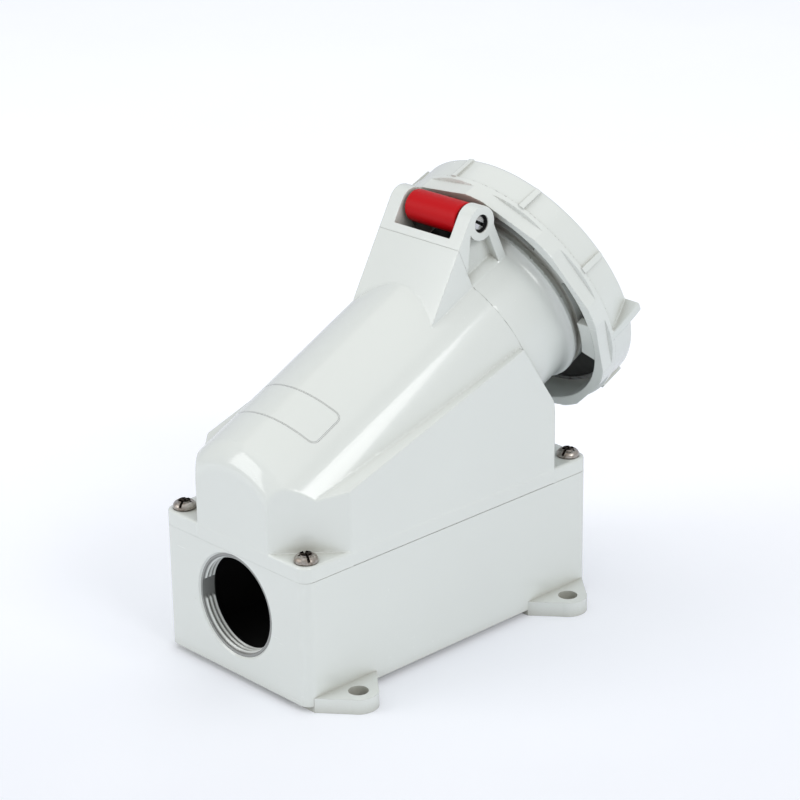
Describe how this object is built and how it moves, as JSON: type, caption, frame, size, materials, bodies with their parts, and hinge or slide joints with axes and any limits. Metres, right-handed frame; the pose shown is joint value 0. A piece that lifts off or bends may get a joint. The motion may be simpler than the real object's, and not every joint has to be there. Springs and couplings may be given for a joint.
{
  "type": "industrial socket outlet",
  "caption": "Surface-mounted industrial socket outlet: tilted barrel on a box with fixing lugs and cable entry, sprung hinged lid and bayonet locking ring.",
  "frame": {"origin": "centre of the four fixing holes, in the mounting plane", "axes": "+Z out of the mounting plane, +Y from the cable entry towards the socket mouth, X is across; box, cover and barrel have X = 0 as their middle plane"},
  "size_m": [0.152, 0.2219, 0.2178],
  "materials": {
    "shell_grey": "moulded, satin gloss",
    "ring_grey": "moulded, satin gloss",
    "lid_red": "moulded, glossy",
    "carrier_black": "moulded, dull",
    "seal_rubber": "matt",
    "stainless": "turned",
    "spring_steel": "drawn wire",
    "contact_brass": "machined"
  },
  "bodies": {
    "housing": {"back_box": "shell_grey", "housing_gasket": "seal_rubber", "cover_housing": "shell_grey", "cover_screws": "stainless", "screw_seals": "seal_rubber", "socket_front": "shell_grey", "bayonet_band": "shell_grey", "front_seal": "seal_rubber", "front_screws": "stainless", "carrier_foot": "carrier_black", "contact_carrier": "carrier_black", "carrier_screws": "stainless", "phase_contacts": "contact_brass", "neutral_contact": "contact_brass", "earth_contact": "contact_brass", "pilot_contact": "contact_brass", "terminal_clamps": "contact_brass", "terminal_screws": "stainless", "earth_terminal": "contact_brass", "earth_screw": "stainless", "hinge_pin": "stainless", "pin_clip": "spring_steel", "hinge_spring": "spring_steel"},
    "lid": {"lid": "lid_red", "lid_seal": "seal_rubber"},
    "ring": {"locking_ring": "ring_grey", "ring_claws": "ring_grey", "ring_retainer": "spring_steel"}
  },
  "joints": [
    {"name": "lid_hinge", "type": "hinge", "parent": "housing", "child": "lid", "pos_m": [0, 0.04269, 0.19861], "axis": [1, 0, 0], "range_deg": [0, 100], "stiffness_Nm_per_rad": 0.04, "springref_deg": -91.67, "deforming": ["hinge_spring"]},
    {"name": "ring_turn", "type": "hinge", "parent": "lid", "child": "ring", "pos_m": [0, 0.09001, 0.15121], "axis": [0, -0.9092, -0.4163], "range_deg": [0, 45]}
  ]
}
